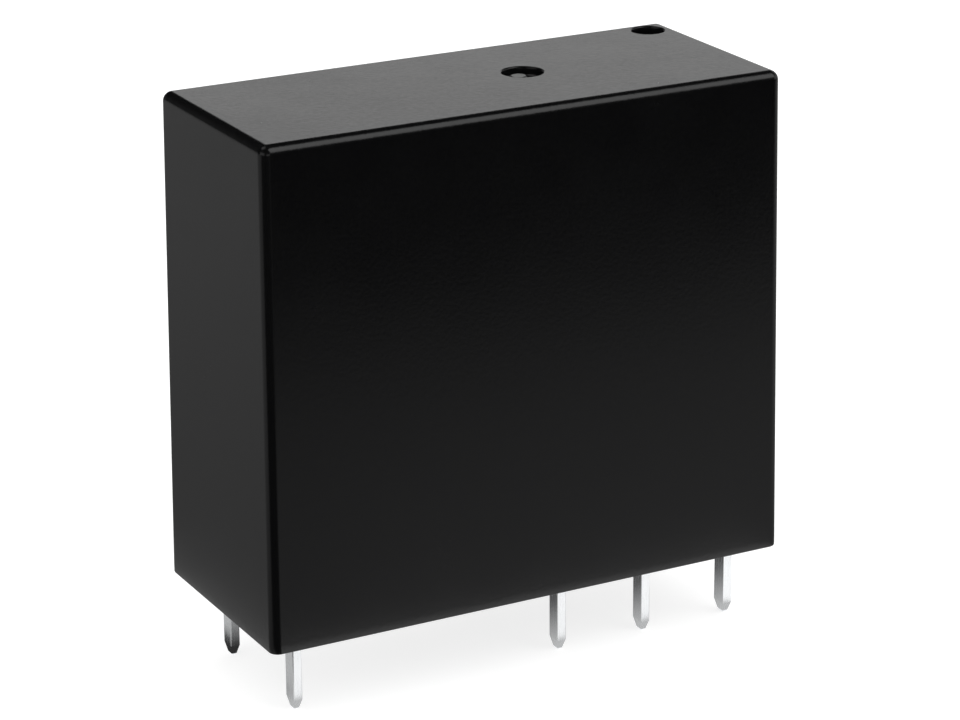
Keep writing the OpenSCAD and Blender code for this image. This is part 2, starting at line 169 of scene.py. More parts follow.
def add_node(
    tree: NodeTree,
    kind: str,
    inputs: Mapping[str, Any] | None = None,
    **settings: Any,
) -> Node:
    """Add a node with its settings and links.

    Args:
        tree: The tree that gets the node.
        kind: The type name of the node.
        inputs: For each input, by identifier or name, its value, or the socket that feeds it,
            or the node whose first output feeds it.
        settings: Properties of the node.

    Returns:
        The new node.
    """
    node = tree.nodes.new(kind)
    for name, value in settings.items():
        setattr(node, name, value)
    for key, value in (inputs or {}).items():
        matches = [socket for socket in node.inputs if socket.identifier == key]
        socket = matches[0] if matches else node.inputs[key]
        if isinstance(value, Node):
            value = next(output for output in value.outputs if output.enabled)
        if isinstance(value, NodeSocket):
            tree.links.new(value, socket)
        else:
            socket.default_value = value
    return node


def bare_material(name: str) -> Material:
    """Make a material that has no nodes yet.

    Args:
        name: The name of the material.

    Returns:
        The material.
    """
    material = bpy.data.materials.new(name)
    material.use_nodes = True
    material.node_tree.nodes.clear()
    return material


def add_object(name: str, mesh: Mesh) -> Object:
    """Put a mesh in the scene.

    Args:
        name: The name of the piece.
        mesh: Its mesh, with its place in it.

    Returns:
        The new object, at the origin.
    """
    mesh.name = name
    piece = bpy.data.objects.new(name, mesh)
    bpy.context.scene.collection.objects.link(piece)
    return piece


def plain_mesh(shape: BMesh, name: str) -> Mesh:
    """Make a mesh of a shape.

    Args:
        shape: The shape, which is freed.
        name: The name of the mesh.

    Returns:
        The mesh.
    """
    mesh = bpy.data.meshes.new(name)
    shape.to_mesh(mesh)
    shape.free()
    return mesh


def closed_mesh(shape: BMesh, name: str) -> Mesh:
    """Merge the doubles of a shape, turn its faces outwards and make a mesh of it.

    Args:
        shape: The shape, which is freed.
        name: The name of the mesh.

    Returns:
        The mesh.
    """
    bmesh.ops.remove_doubles(shape, verts=shape.verts, dist=MERGE_DISTANCE)
    bmesh.ops.recalc_face_normals(shape, faces=shape.faces)
    return plain_mesh(shape, name)


def flat_mesh(low: Point, high: Point, height: float, name: str) -> Mesh:
    """Make a flat rectangle that faces up.

    Args:
        low: Its lowest X and Y.
        high: Its highest X and Y.
        height: How high it lies.
        name: The name of the mesh.

    Returns:
        The mesh.
    """
    shape = bmesh.new()
    corners = (low, (high[0], low[1]), high, (low[0], high[1]))
    shape.faces.new([shape.verts.new((*corner, height)) for corner in corners])
    return plain_mesh(shape, name)


def applied_mesh(piece: Object) -> Mesh:
    """Make a plain mesh of an object and its modifiers.

    Args:
        piece: The object.

    Returns:
        The new mesh.
    """
    depsgraph = bpy.context.evaluated_depsgraph_get()
    return bpy.data.meshes.new_from_object(piece.evaluated_get(depsgraph), depsgraph=depsgraph)


def revolve(profile: Sequence[Point], centre: Vector, segments: int) -> BMesh:
    """Turn a profile about an upright axis.

    Args:
        profile: Radius and height of each point, about the centre.
        centre: A point of the axis, from which the heights count.
        segments: The number of steps round the axis.

    Returns:
        The shape, with doubles where the profile meets the axis or itself.
    """
    shape = bmesh.new()
    rings = []
    for radius, height in profile:
        ring = []
        for step in range(segments):
            angle = 2 * math.pi * step / segments
            offset = Vector((radius * math.cos(angle), radius * math.sin(angle), height))
            ring.append(shape.verts.new(centre + offset))
        rings.append(ring)
    join_rings(shape, rings)
    return shape


def join_rings(shape: BMesh, rings: Sequence[Sequence[BMVert]]) -> None:
    """Join each ring of points to the next by a band of faces.

    Args:
        shape: The shape that holds the points.
        rings: The rings, each with as many points.
    """
    for lower, upper in zip(rings, rings[1:]):
        count = len(lower)
        for step in range(count):
            after = (step + 1) % count
            shape.faces.new((lower[step], lower[after], upper[after], upper[step]))


def dress(mesh: Mesh, material: Material, sharp_deg: float = SHARP_DEG) -> None:
    """Shade a mesh round between its sharp edges, and give it its material.

    Args:
        mesh: The mesh.
        material: Its only material.
        sharp_deg: The angle past which an edge stays sharp.
    """
    mesh.shade_smooth()
    mesh.set_sharp_from_angle(angle=math.radians(sharp_deg))
    mesh.materials.clear()
    mesh.materials.append(material)


@dataclass(frozen=True)
class Finish:
    """The look of one real material, with grain, patches of colour and relief.

    Attributes:
        name: What the material is and how its surface was made.
        shade: Its main colour.
        patch: The colour of its patches.
        roughness: The roughness in the hollows and on the crests of the grain.
        grain_mm: The width of the grain.
        relief_um: The height of the grain.
        metallic: 1 for a metal.
        ior: The index of refraction, of anything but a metal.
        stretch: How often the grain repeats along X, Y and Z, against its width.
        patch_mm: The size of the patches.
        glow_depth_mm: How deep light goes into a translucent material.
        coat: The share of a clear coat.
        haze: How much rougher the patches are.
        edge_mm: The rounding that stamping or moulding leaves on its edges.
        grain_range: The values of the grain's noise at its hollows and crests.
        coat_roughness: The roughness of the clear coat.
        glow_share: The share of light that goes into a translucent material.
    """

    name: str
    shade: str
    patch: str
    roughness: Pair
    grain_mm: float
    relief_um: float
    metallic: float = 0.0
    ior: float = 1.5
    stretch: tuple[float, float, float] = (1.0, 1.0, 1.0)
    patch_mm: float = 3.0
    glow_depth_mm: float = 0.0
    coat: float = 0.0
    haze: float = 0.0
    edge_mm: float = 0.0
    grain_range: Pair = (0.3, 0.7)
    coat_roughness: float = 0.12
    glow_share: float = 0.35

    def material(self) -> Material:
        """Make the material's nodes.

        Returns:
            The material.
        """
        material = bare_material(self.name)
        tree = material.node_tree
        place = add_node(tree, "ShaderNodeTexCoord").outputs["Object"]
        grain_scale = [amount / (self.grain_mm * MM) for amount in self.stretch]
        grain_place = add_node(tree, "ShaderNodeMapping", {"Vector": place, "Scale": grain_scale})
        grain = add_node(
            tree,
            "ShaderNodeTexNoise",
            {"Vector": grain_place, "Scale": 1.0, "Detail": GRAIN_DETAIL},
        )
        patch_scale = 1 / (self.patch_mm * MM)
        patches = add_node(
            tree,
            "ShaderNodeTexNoise",
            {"Vector": place, "Scale": patch_scale, "Detail": PATCH_DETAIL},
        )
        shades = {"A_Color": linear(self.shade), "B_Color": linear(self.patch)}
        colour = add_node(
            tree, "ShaderNodeMix", {"Factor_Float": patches, **shades}, data_type="RGBA"
        )
        roughness = add_node(
            tree,
            "ShaderNodeMapRange",
            {
                "Value": grain,
                "From Min": self.grain_range[0],
                "From Max": self.grain_range[1],
                "To Min": self.roughness[0],
                "To Max": self.roughness[1],
            },
        )
        hazed = add_node(
            tree,
            "ShaderNodeMath",
            {"Value": patches, "Value_001": self.haze, "Value_002": roughness},
            operation="MULTIPLY_ADD",
        )
        relief = add_node(
            tree,
            "ShaderNodeBump",
            {"Height": grain, "Strength": 1.0, "Distance": self.relief_um * MICRON},
        )
        surface = add_node(
            tree,
            "ShaderNodeBsdfPrincipled",
            {
                "Base Color": colour,
                "Roughness": hazed,
                "Normal": relief,
                "Metallic": self.metallic,
                "IOR": self.ior,
                "Coat Weight": self.coat,
                "Coat Roughness": self.coat_roughness,
            },
        )
        if self.glow_depth_mm > 0:
            surface.inputs["Subsurface Weight"].default_value = self.glow_share
            surface.inputs["Subsurface Scale"].default_value = self.glow_depth_mm * MM
        add_node(tree, "ShaderNodeOutputMaterial", {"Surface": surface})
        return material


# Black glass-filled polyester, moulded in a lightly spark-eroded tool: an even satin black
# with a soft sheen that turns bright at a low angle. The real grain is about half as wide,
# and is drawn coarser so that it shows.
COVER_PLASTIC = Finish(
    name="black_polyester_satin_moulded",
    shade="#070708",
    patch="#0a0a0b",
    roughness=(0.17, 0.22),
    grain_mm=0.2,
    relief_um=5.0,
    patch_mm=4.0,
    haze=0.08,
)

# The same polyester out of a rougher tool: duller and a little greyer.
BASE_PLASTIC = Finish(
    name="black_polyester_matt_moulded",
    shade="#191a1b",
    patch="#202122",
    roughness=(0.5, 0.62),
    grain_mm=0.15,
    relief_um=3.0,
    patch_mm=2.5,
    edge_mm=0.1,
)

# Epoxy poured in and cured: a dark glossy face with slow waves and a few dull patches.
SEALING_RESIN = Finish(
    name="black_epoxy_poured",
    shade="#141312",
    patch="#1d1b19",
    roughness=(0.14, 0.3),
    grain_mm=1.6,
    relief_um=22.0,
    ior=1.55,
    patch_mm=4.0,
)

# Unpigmented polyester: cream, a little see-through, with a fine moulded grain.
BOBBIN_PLASTIC = Finish(
    name="natural_polyester_moulded",
    shade="#d9d2bd",
    patch="#e3dcc8",
    roughness=(0.38, 0.5),
    grain_mm=0.2,
    relief_um=2.0,
    glow_depth_mm=0.5,
    edge_mm=0.12,
)

# A whiter grade for the card, smooth where it slides.
CARD_PLASTIC = Finish(
    name="white_polyester_moulded",
    shade="#e4e0d2",
    patch="#ece9de",
    roughness=(0.3, 0.42),
    grain_mm=0.18,
    relief_um=1.5,
    glow_depth_mm=0.4,
    edge_mm=0.08,
)

# Copper wire under a clear amber enamel: deep orange metal with a wet coat.
ENAMELLED_COPPER = Finish(
    name="copper_wire_enamelled",
    shade="#b4602f",
    patch="#97491f",
    roughness=(0.2, 0.34),
    grain_mm=0.4,
    relief_um=1.0,
    metallic=1.0,
    patch_mm=1.8,
    coat=0.6,
)

# Soft iron, stamped and nickel plated: a warm grey satin with rolling marks along it.
SOFT_IRON = Finish(
    name="soft_iron_nickel_plated",
    shade="#b9b7b2",
    patch="#a9a7a3",
    roughness=(0.26, 0.42),
    grain_mm=0.08,
    relief_um=1.2,
    metallic=1.0,
    stretch=(0.08, 1.0, 1.0),
    edge_mm=0.08,
)

# Brass strip, tinned and stamped: a cool white metal with faint draw lines down each pin.
TINNED_BRASS = Finish(
    name="brass_strip_tinned",
    shade="#f4f5f6",
    patch="#e6e8ea",
    roughness=(0.2, 0.3),
    grain_mm=0.07,
    relief_um=1.4,
    metallic=1.0,
    stretch=(1.0, 1.0, 0.06),
    patch_mm=1.2,
    edge_mm=0.05,
)

# Cold-rolled phosphor bronze: a warm brown-gold leaf with rolling lines along it.
SPRING_BRONZE = Finish(
    name="phosphor_bronze_rolled",
    shade="#c08a4e",
    patch="#b07a40",
    roughness=(0.2, 0.32),
    grain_mm=0.06,
    relief_um=0.8,
    metallic=1.0,
    stretch=(1.0, 1.0, 0.05),
    edge_mm=0.03,
)

# Silver alloy, cold-headed: a soft white metal, a little tarnished in patches.
SILVER_ALLOY = Finish(
    name="silver_alloy_headed",
    shade="#dedbd4",
    patch="#cdc7bb",
    roughness=(0.24, 0.36),
    grain_mm=0.12,
    relief_um=1.0,
    metallic=1.0,
    patch_mm=0.8,
    edge_mm=0.05,
)

FINISHES = {
    Slot.COVER: COVER_PLASTIC,
    Slot.BASE: BASE_PLASTIC,
    Slot.RESIN: SEALING_RESIN,
    Slot.BOBBIN: BOBBIN_PLASTIC,
    Slot.CARD: CARD_PLASTIC,
    Slot.COIL: ENAMELLED_COPPER,
    Slot.IRON: SOFT_IRON,
    Slot.PIN: TINNED_BRASS,
    Slot.SPRING: SPRING_BRONZE,
    Slot.CONTACT: SILVER_ALLOY,
}


def hand_over(piece: Object, node: str) -> None:
    """Let a rigid piece of the frame stand for a CAD node.

    Args:
        piece: The finished piece.
        node: The CAD node that it stands for.
    """
    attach(piece, "frame")
    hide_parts(node)
    log.info("%s stands for %s", piece.name, node)


@dataclass(frozen=True)
class Ring:
    """One level of the cover: a rounded rectangle at a height."""

    half_x: float
    half_y: float
    radius: float
    height: float

    def points(self, steps: int) -> list[Vector]:
        """Place the points of the ring.

        Args:
            steps: The number of steps in each corner.

        Returns:
            The points, once round.
        """
        signs = ((1, 1), (-1, 1), (-1, -1), (1, -1))
        places = []
        for quarter, (sign_x, sign_y) in enumerate(signs):
            middle_x = sign_x * (self.half_x - self.radius)
            middle_y = sign_y * (self.half_y - self.radius)
            for step in range(steps + 1):
                angle = (quarter + step / steps) * math.pi / 2
                x = middle_x + self.radius * math.cos(angle)
                y = middle_y + self.radius * math.sin(angle)
                places.append(Vector((x, y, self.height)))
        return places


@dataclass(frozen=True)
class Cover:
    """The one-piece cover, open below, with a gate recess and a vent hole in its roof."""

    high: Vector
    wall: float = 0.8 * MM
    roof: float = 0.9 * MM
    edge_radius: float = 0.5 * MM
    draft: float = 0.25 * MM
    foot: float = 0.5 * MM
    inner_radius: float = 0.3 * MM
    rim_radius: float = 0.08 * MM
    vent_radius: float = 0.85 * MM
    vent_from_end: float = 1.8 * MM
    vent_from_back: float = 1.7 * MM
    gate_place: Point = (2.9 * MM, 0.25 * MM)
    gate_radius: float = 1.05 * MM
    gate_depth: float = 0.45 * MM
    stub_radius: float = 0.42 * MM
    stub_height: float = 0.3 * MM
    stub_shift: Point = (-0.24 * MM, -0.05 * MM)
    soft_edge: float = 0.06 * MM
    lip_radius: float = 0.1 * MM
    corner_steps: int = 10
    round_steps: int = 64
    lip_steps: int = 5

    def rounded_levels(self, half_x: float, half_y: float, radius: float, top: float) -> list[Ring]:
        """List the levels of a rounded top edge, from its wall to its roof.

        Args:
            half_x: Half the length of the wall.
            half_y: Half the depth of the wall.
            radius: The radius of the edges.
            top: The height of the roof.

        Returns:
            The levels, upwards.
        """
        levels = []
        for step in range(self.corner_steps + 1):
            angle = math.pi / 2 * step / self.corner_steps
            inset = radius * (1 - math.cos(angle))
            height = top - radius + radius * math.sin(angle)
            levels.append(Ring(half_x - inset, half_y - inset, radius - inset, height))
        return levels

    def levels(self) -> list[Ring]:
        """List all the levels of the shell.

        Returns:
            The levels, from the inside of the roof round the rim to its outside.
        """
        half_x, half_y, top = self.high
        inner_x = half_x - self.wall
        inner_y = half_y - self.wall
        inner = self.inner_radius
        edge = self.edge_radius
        rim = self.rim_radius
        half_way = ARC_MIDDLE * rim
        inside = self.rounded_levels(inner_x, inner_y, inner, top - self.roof)
        rim_levels = [
            Ring(inner_x, inner_y, inner, rim),
            Ring(inner_x + rim, inner_y + rim, inner + rim, 0.0),
            Ring(half_x - rim, half_y - rim, edge - rim, 0.0),
            Ring(half_x - half_way, half_y - half_way, edge - half_way, half_way),
            Ring(half_x, half_y, edge, rim),
            Ring(half_x, half_y, edge, self.foot),
        ]
        outside = self.rounded_levels(half_x - self.draft, half_y - self.draft, edge, top)
        return inside[::-1] + rim_levels + outside

    def shell(self) -> Mesh:
        """Join the levels into the closed shell of the cover.

        Returns:
            The shell, before its roof is opened.
        """
        shape = bmesh.new()
        rings = []
        for level in self.levels():
            rings.append([shape.verts.new(place) for place in level.points(self.corner_steps)])
        join_rings(shape, rings)
        shape.faces.new(rings[0])
        shape.faces.new(rings[-1])
        return closed_mesh(shape, "cover_shell")

    def opening(self, radius: float, floor: Sequence[Point], middle: Vector) -> BMesh:
        """Make the shape that is cut from the roof for an opening.

        Args:
            radius: The radius of the opening.
            floor: Radius and height of each point of its floor, from the axis outwards.
            middle: The middle of the opening, on the face of the roof.

        Returns:
            The shape, with a rounded lip.
        """
        lip = self.lip_radius
        points = list(floor)
        for step in range(self.lip_steps + 1):
            angle = math.pi / 2 * step / self.lip_steps
            points.append((radius + lip * (1 - math.cos(angle)), lip * (math.sin(angle) - 1)))
        points.append((radius + lip, self.roof))
        points.append((0.0, self.roof))
        return revolve(points, middle, self.round_steps)

    def vent_cutter(self) -> Object:
        """Make the shape of the vent hole.

        Returns:
            The cutter.
        """
        through = -2 * self.roof
        x = self.high.x - self.vent_from_end
        y = self.high.y - self.vent_from_back
        floor = [(0.0, through), (self.vent_radius, through)]
        shape = self.opening(self.vent_radius, floor, Vector((x, y, self.high.z)))
        return add_object("vent_cutter", closed_mesh(shape, "vent_cutter"))

    def gate_cutter(self) -> Object:
        """Make the shape of the gate recess, with its stub off the middle where it broke away.

        Returns:
            The cutter.
        """
        soft = self.soft_edge
        stub_top = self.stub_height - self.gate_depth
        floor = [
            (0.0, stub_top),
            (self.stub_radius - soft, stub_top),
            (self.stub_radius, stub_top - soft),
            (self.stub_radius, -self.gate_depth),
            (self.gate_radius - soft, -self.gate_depth),
            (self.gate_radius, soft - self.gate_depth),
        ]
        middle = Vector((*self.gate_place, self.high.z))
        shape = self.opening(self.gate_radius, floor, middle)
        shift = Vector((*self.stub_shift, 0.0))
        for vertex in shape.verts:
            reach = (vertex.co.xy - middle.xy).length
            if vertex.co.z < middle.z and reach <= self.stub_radius + MERGE_DISTANCE:
                vertex.co += shift
        return add_object("gate_cutter", closed_mesh(shape, "gate_cutter"))

    def build(self, material: Material) -> Object:
        """Make the cover.

        Args:
            material: Its plastic.

        Returns:
            The finished piece.
        """
        blank = add_object("cover_blank", self.shell())
        cutters = (self.vent_cutter(), self.gate_cutter())
        for cutter in cutters:
            cut = blank.modifiers.new(cutter.name, "BOOLEAN")
            cut.operation = "DIFFERENCE"
            cut.solver = "EXACT"
            cut.object = cutter
        mesh = applied_mesh(blank)
        for spent in (blank, *cutters):
            bpy.data.objects.remove(spent)
        dress(mesh, material)
        cover = add_object("cover_moulding", mesh)
        normals = cover.modifiers.new("even_faces", "WEIGHTED_NORMAL")
        normals.keep_sharp = True
        return cover


# The inputs of the winding's tree, and the kind of each.
WIRE_INPUTS = {
    "Turns": "Float",
    "Radius": "Float",
    "Height": "Float",
    "Wire Radius": "Float",
    "Steps": "Int",
    "Sides": "Int",
    "Foot": "Vector",
    "Wire": "Material",
}


def wound_wire() -> NodeTree:
    """Build a Geometry Nodes tree that winds round wire on an upright axis.

    Returns:
        The tree, with named inputs for the sizes of the winding.
    """
    tree = bpy.data.node_groups.new("wound_wire", "GeometryNodeTree")
    for name, kind in WIRE_INPUTS.items():
        tree.interface.new_socket(name, in_out="INPUT", socket_type=f"NodeSocket{kind}")
    tree.interface.new_socket("Geometry", in_out="OUTPUT", socket_type="NodeSocketGeometry")
    sizes = add_node(tree, "NodeGroupInput").outputs
    path = add_node(
        tree,
        "GeometryNodeCurveSpiral",
        {
            "Resolution": sizes["Steps"],
            "Rotations": sizes["Turns"],
            "Start Radius": sizes["Radius"],
            "End Radius": sizes["Radius"],
            "Height": sizes["Height"],
        },
    )
    section = add_node(
        tree,
        "GeometryNodeCurvePrimitiveCircle",
        {"Resolution": sizes["Sides"], "Radius": sizes["Wire Radius"]},
    )
    wire = add_node(
        tree,
        "GeometryNodeCurveToMesh",
        {"Curve": path, "Profile Curve": section, "Fill Caps": True},
    )
    placed = add_node(
        tree, "GeometryNodeTransform", {"Geometry": wire, "Translation": sizes["Foot"]}
    )
    real = add_node(tree, "GeometryNodeRealizeInstances", {"Geometry": placed})
    dressed = add_node(
        tree, "GeometryNodeSetMaterial", {"Geometry": real, "Material": sizes["Wire"]}
    )
    add_node(tree, "NodeGroupOutput", {"Geometry": dressed})
    return tree


def grow(tree: NodeTree, values: Mapping[str, Any], name: str) -> Mesh:
    """Run a Geometry Nodes tree and keep its plain mesh.

    Args:
        tree: The tree.
        values: A value for each named input.
        name: The name of the mesh.

    Returns:
        The mesh.
    """
    carrier = add_object(f"{name}_carrier", bpy.data.meshes.new(name))
    nodes = carrier.modifiers.new(name, "NODES")
    nodes.node_group = tree
    for item in tree.interface.items_tree:
        if item.in_out == "INPUT":
            nodes[item.identifier] = values[item.name]
    mesh = applied_mesh(carrier)
    bpy.data.objects.remove(carrier)
    return mesh


@dataclass(frozen=True)
class Coil:
    """The wound coil: its turns of wire, and the leads that are wound on the posts."""

    low: Vector
    high: Vector
    tree: NodeTree
    wire_diameter: float = 0.15 * MM
    bore_radius: float = 2.79 * MM
    steps_per_turn: int = 40
    wire_sides: int = 8
    lead_turns: int = 6
    body_segments: int = 72
    sharp_deg: float = 50.0

    @property
    def axis(self) -> Vector:
        """The foot of the coil's axis."""
        middle = (self.low + self.high) / 2
        return Vector((middle.x, middle.y, self.low.z))

    @property
    def wire(self) -> float:
        """The radius of the wire."""
        return self.wire_diameter / 2

    @property
    def layer_radius(self) -> float:
        """The radius of the outer layer, at the middle of its wire."""
        return (self.high.x - self.low.x) / 2 - self.wire

    def wind(
        self, turns: float, radius: float, foot: Vector, height: float, material: Material, name: str
    ) -> Mesh:
        """Wind turns of the wire on an axis.

        Args:
            turns: The number of turns.
            radius: The radius of the turns, at the middle of the wire.
            foot: The point of the axis beside the lowest face of the first turn.
            height: The height of all the turns together.
            material: The enamelled wire.
            name: The name of the mesh.

        Returns:
            The mesh.
        """
        values = {
            "Turns": turns,
            "Radius": radius,
            "Height": height - self.wire_diameter,
            "Wire Radius": self.wire,
            "Steps": self.steps_per_turn,
            "Sides": self.wire_sides,
            "Foot": foot + Vector((0.0, 0.0, self.wire)),
            "Wire": material,
        }
        return grow(self.tree, values, name)

    def winding(self, material: Material) -> Object:
        """Make the winding: a body of inner layers, and one outer layer of real turns.

        Args:
            material: The enamelled wire.

        Returns:
            The finished piece.
        """
        height = self.high.z - self.low.z
        turns = (height - self.wire_diameter) / self.wire_diameter
        radius = self.layer_radius
        outer = self.wind(turns, radius, self.axis, height, material, "outer_layer")
        bore = self.bore_radius
        section = [(bore, 0.0), (radius, 0.0), (radius, height), (bore, height), (bore, 0.0)]
        body = revolve(section, self.axis, self.body_segments)
        joined = bmesh.new()
        joined.from_mesh(closed_mesh(body, "inner_layers"))
        joined.from_mesh(outer)
        mesh = plain_mesh(joined, "winding")
        dress(mesh, material, self.sharp_deg)
        return add_object("coil_turns", mesh)

    def lead(self, side: str, material: Material) -> Object:
        """Make one lead: turns on its post, and a straight run to the winding.

        Args:
            side: The side of the relay.
            material: The enamelled wire.

        Returns:
            The finished piece.
        """
        low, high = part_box(f"coil_lead_{side}")
        post_low, post_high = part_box(f"coil_terminal_{side}")
        post = (post_low + post_high) / 2
        radius = post.x - low.x - self.wire
        foot = Vector((post.x, post.y, low.z))
        turns = float(self.lead_turns - 1)
        wound = self.wind(turns, radius, foot, high.z - low.z, material, f"lead_turns_{side}")
        level = (low.z + high.z) / 2
        start = Vector((post.x, post.y, level))
        middle = Vector((self.axis.x, self.axis.y, level))
        towards = (middle - start).normalized()
        shape = bmesh.new()
        shape.from_mesh(wound)
        run_start = start + towards * radius
        run_end = middle - towards * self.layer_radius
        turn = towards.to_track_quat("Z", "Y").to_matrix().to_4x4()
        bmesh.ops.create_cone(
            shape,
            cap_ends=True,
            segments=self.wire_sides,
            radius1=self.wire,
            radius2=self.wire,
            depth=(run_end - run_start).length,
            matrix=Matrix.Translation((run_start + run_end) / 2) @ turn,
        )
        mesh = plain_mesh(shape, f"lead_{side}")
        dress(mesh, material, self.sharp_deg)
        return add_object(f"lead_wire_{side}", mesh)


@dataclass(frozen=True)
class MovingSpring:
    """One moving contact leaf, which bends above its common terminal."""

    side: str
    source: Object
    bend_reach: float = 1.0 * MM
    slices: int = 44

    def build(self, material: Material) -> Object:
        """Slice a copy of the flat leaf across, so that it can bend smoothly.

        Args:
            material: The spring bronze.

        Returns:
            The leaf.
        """
        low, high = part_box(f"moving_spring_{self.side}")
        shape = bmesh.new()
        shape.from_mesh(self.source.data)
        bmesh.ops.remove_doubles(shape, verts=shape.verts, dist=MERGE_DISTANCE)
        for step in range(1, self.slices):
            level = low.z + (high.z - low.z) * step / self.slices
            bmesh.ops.bisect_plane(
                shape,
                geom=[*shape.verts, *shape.edges, *shape.faces],
                dist=MERGE_DISTANCE,
                plane_co=(0.0, 0.0, level),
                plane_no=(0.0, 0.0, 1.0),
            )
        mesh = plain_mesh(shape, f"leaf_{self.side}")
        dress(mesh, material)
        return add_object(f"spring_leaf_{self.side}", mesh)

    def bind(self, leaf: Object) -> None:
        """Bake the leaf's place into its mesh, and hide the CAD leaf that it stands for.

        Args:
            leaf: The finished leaf.
        """
        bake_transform(leaf)
        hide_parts(f"moving_spring_{self.side}")
        log.info("%s bends above the common terminal", leaf.name)


@dataclass(frozen=True)
class Patch:
    """A rectangle in X and Y."""

    low_x: float
    low_y: float
    high_x: float
    high_y: float

    def distance(self, x: float, y: float) -> float:
        """Give how far a point lies outside the rectangle, or 0 inside it."""
        aside = max(self.low_x - x, 0.0, x - self.high_x)
        return math.hypot(aside, max(self.low_y - y, 0.0, y - self.high_y))


def patch_round(places: Sequence[Vector]) -> Patch:
    """Draw the rectangle round some points.

    Args:
        places: The points.

    Returns:
        The rectangle.
    """
    along = [place.x for place in places]
    across = [place.y for place in places]
    return Patch(min(along), min(across), max(along), max(across))


@dataclass(frozen=True)
class SealingResin:
    """The poured resin, which creeps up the walls, pads and pins that it meets."""

    low: Vector
    high: Vector
    nodes: Mapping[str, Object]
    step: float = 0.16 * MM
    creep_height: float = 0.16 * MM
    creep_length: float = 0.2 * MM
    pad_reach: float = 4.2 * MM
    face_tolerance: float = 0.05 * MM
    line_digits: int = 7
    sharp_deg: float = 60.0

    def pins(self) -> list[Patch]:
        """Find the section of each pin from what hangs below the board face.

        Returns:
            The sections.
        """
        sections = []
        for name, node in self.nodes.items():
            if "_terminal_" in name:
                corners = [vertex.co for vertex in node.data.vertices]
                hanging = [place for place in corners if place.z < -self.face_tolerance]
                sections.append(patch_round(hanging))
        return sections

    def pads(self) -> list[Patch]:
        """Find the pads of the base from its corners on the board face.

        Returns:
            The outline of each pad.
        """
        groups: list[list[Vector]] = []
        for vertex in self.nodes["base"].data.vertices:
            place = vertex.co
            if place.z > self.face_tolerance:
                continue
            near = [group for group in groups if (group[0] - place).xy.length < self.pad_reach]
            if near:
                near[0].append(place)
            else:
                groups.append([place])
        return [patch_round(group) for group in groups]

    def lines(self, low: float, high: float, edges: Sequence[float]) -> list[float]:
        """Space grid lines between two walls, with a line on every edge between them.

        Args:
            low: The first wall.
            high: The last wall.
            edges: The edges in between.

        Returns:
            The places of the lines, in order.
        """
        stops = sorted({round(edge, self.line_digits) for edge in (low, *edges, high)})
        places = [stops[0]]
        for start, end in zip(stops, stops[1:]):
            count = max(1, math.ceil((end - start) / self.step))
            places.extend(start + (end - start) * number / count for number in range(1, count + 1))
        return places

    def face(self, x: float, y: float, holes: Sequence[Patch]) -> float:
        """Find how low the resin's face lies at a point.

        Args:
            x: The place of the point along X.
            y: The place of the point along Y.
            holes: The pins and pads.

        Returns:
            The height of the face.
        """
        wall = min(x - self.low.x, self.high.x - x, y - self.low.y, self.high.y - y)
        nearest = min(wall, *(hole.distance(x, y) for hole in holes))
        return self.low.z - self.creep_height * math.exp(-nearest / self.creep_length)

    def build(self, material: Material) -> Object:
        """Make the resin: a sheet of cells, left open at the pins and pads, drawn up to its top.

        Args:
            material: The epoxy.

        Returns:
            The finished piece.
        """
        holes = self.pins() + self.pads()
        edges_x = [edge for hole in holes for edge in (hole.low_x, hole.high_x)]
        edges_y = [edge for hole in holes for edge in (hole.low_y, hole.high_y)]
        columns = self.lines(self.low.x, self.high.x, edges_x)
        rows = self.lines(self.low.y, self.high.y, edges_y)
        shape = bmesh.new()
        grid = []
        for x in columns:
            grid.append([shape.verts.new((x, y, self.face(x, y, holes))) for y in rows])
        for column, (left, right) in enumerate(zip(columns, columns[1:])):
            for row, (front, back) in enumerate(zip(rows, rows[1:])):
                middle = ((left + right) / 2, (front + back) / 2)
                if all(hole.distance(*middle) > 0 for hole in holes):
                    near = grid[column][row : row + 2]
                    far = grid[column + 1][row : row + 2]
                    shape.faces.new((*near, *reversed(far)))
        loose = [vertex for vertex in shape.verts if not vertex.link_faces]
        bmesh.ops.delete(shape, geom=loose, context="VERTS")
        sheet = [*shape.edges, *shape.faces]
        drawn = bmesh.ops.extrude_face_region(shape, geom=sheet, use_keep_orig=True)
        for part in drawn["geom"]:
            if isinstance(part, BMVert):
                part.co.z = self.high.z
        mesh = closed_mesh(shape, "resin")
        dress(mesh, material, self.sharp_deg)
        return add_object("resin_pour", mesh)


def soften(piece: Object, width: float) -> None:
    """Round the sharp edges of a CAD piece a little, without touching its mesh.

    Args:
        piece: The CAD node.
        width: The width of the rounding.
    """
    weld = piece.modifiers.new("weld", "WELD")
    weld.merge_threshold = MERGE_DISTANCE
    bevel = piece.modifiers.new("edge", "BEVEL")
    bevel.width = width
    bevel.segments = EDGE_SEGMENTS
    bevel.limit_method = "ANGLE"
    bevel.angle_limit = math.radians(EDGE_ANGLE_DEG)
    normals = piece.modifiers.new("even_faces", "WEIGHTED_NORMAL")
    normals.keep_sharp = True


